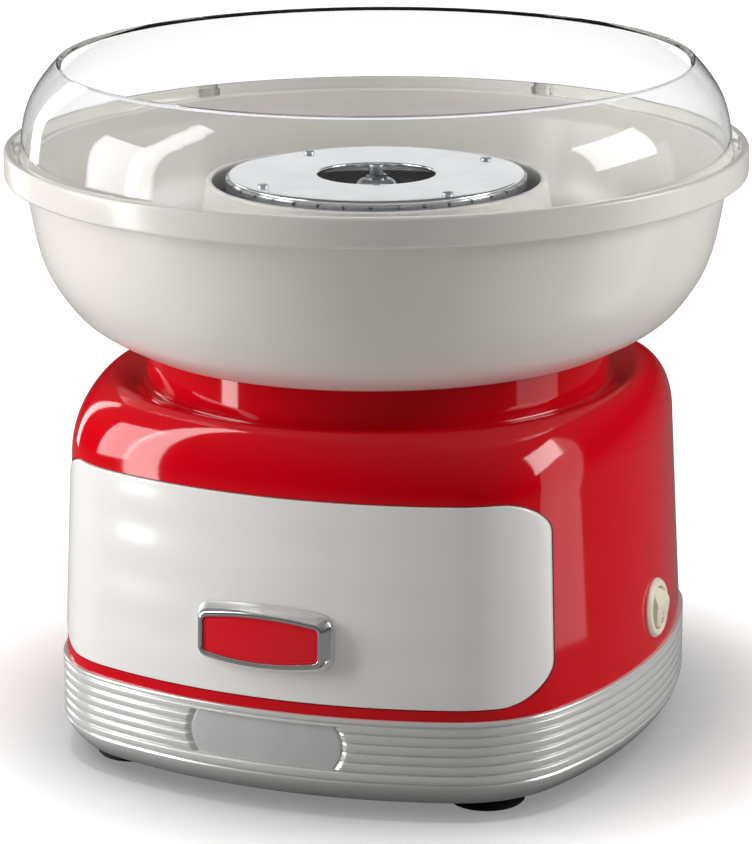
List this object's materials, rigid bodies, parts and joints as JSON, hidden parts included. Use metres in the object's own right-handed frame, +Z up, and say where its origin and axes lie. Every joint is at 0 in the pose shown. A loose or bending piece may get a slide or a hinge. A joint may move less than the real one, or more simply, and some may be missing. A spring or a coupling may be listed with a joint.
{
  "type": "cotton candy machine",
  "caption": "Tabletop cotton candy machine: clear guard over a white bowl with a motor-driven heated spinner head, on a rounded-square red housing with a ribbed silver plinth.",
  "frame": {"origin": "on the table, under the centre of the footprint and on the spinner's axis", "axes": "+Z up along the spinner shaft, front panel and badge towards -Y, power switch towards +X, cord inlet towards +Y"},
  "size_m": [0.305, 0.305, 0.2838],
  "materials": {
    "red_housing": "gloss moulded red",
    "silver_plinth": "satin silver coat on moulded plastic",
    "pearl_panel": "gloss pearl white",
    "chrome_trim": "bright plated",
    "red_insert": "gloss red",
    "silver_plate": "satin",
    "black_plastic": "fine matt",
    "black_rubber": "matt",
    "ivory_plastic": "gloss ivory",
    "zinc_steel": "zinc plated",
    "ferrite": "dull sintered",
    "carbon": "pressed carbon",
    "bronze": "plain sintered",
    "copper": "lacquered copper",
    "green_board": "circuit board",
    "cream_moulding": "moulded",
    "spun_aluminium": "satin spun",
    "heater_tube": "heat-darkened",
    "white_ceramic": "unglazed ceramic",
    "polished_plate": "mirror polished",
    "white_bowl": "gloss warm white",
    "clear_guard": "clear polished moulding"
  },
  "bodies": {
    "base": {"plinth": "silver_plinth", "housing": "red_housing", "front_panel": "pearl_panel", "badge_bezel": "chrome_trim", "badge_insert": "red_insert", "nameplate": "silver_plate", "bottom_plate": "black_plastic", "feet": "black_rubber", "base_screws": "zinc_steel", "cord_inlet_bush": "black_plastic", "switch_body": "ivory_plastic", "motor_can": "zinc_steel", "motor_end_cap": "black_plastic", "motor_brushes": "carbon", "motor_magnets": "ferrite", "upper_bearing": "bronze", "lower_bearing": "bronze", "motor_bracket": "zinc_steel", "rubber_mounts": "black_rubber", "mount_screws": "zinc_steel", "rectifier_board": "green_board", "terminal_block": "cream_moulding", "heater_tower": "spun_aluminium", "tower_screws": "zinc_steel", "heater_pan": "spun_aluminium", "heating_element": "heater_tube", "element_insulators": "white_ceramic", "element_clips": "zinc_steel", "pan_screws": "zinc_steel", "thermal_cutout": "black_plastic"},
    "rotor": {"motor_shaft": "zinc_steel", "drive_pin": "zinc_steel", "armature_core": "zinc_steel", "armature_windings": "copper", "commutator": "copper", "cooling_fan": "black_plastic"},
    "head": {"head_base": "spun_aluminium", "head_plate": "polished_plate", "head_hub": "zinc_steel", "head_screws": "polished_plate"},
    "bowl": {"bowl": "white_bowl"},
    "guard": {"guard": "clear_guard"},
    "rocker": {"rocker": "ivory_plastic"}
  },
  "joints": [
    {"name": "rotor_spin", "type": "hinge", "parent": "base", "child": "rotor", "pos_m": [0, 0, 0.14], "axis": [0, 0, 1], "continuous": true},
    {"name": "head_lift", "type": "slide", "parent": "rotor", "child": "head", "axis": [0, 0, 1], "range_m": [0, 0.03]},
    {"name": "bowl_lift", "type": "slide", "parent": "base", "child": "bowl", "axis": [0, 0, 1], "range_m": [0, 0.085]},
    {"name": "guard_lift", "type": "slide", "parent": "bowl", "child": "guard", "axis": [0, 0, 1], "range_m": [0, 0.05]},
    {"name": "switch_rock", "type": "hinge", "parent": "base", "child": "rocker", "pos_m": [0.12104, 0.0056, 0.0602], "axis": [0, 1, 0], "range_deg": [0, 22]}
  ]
}
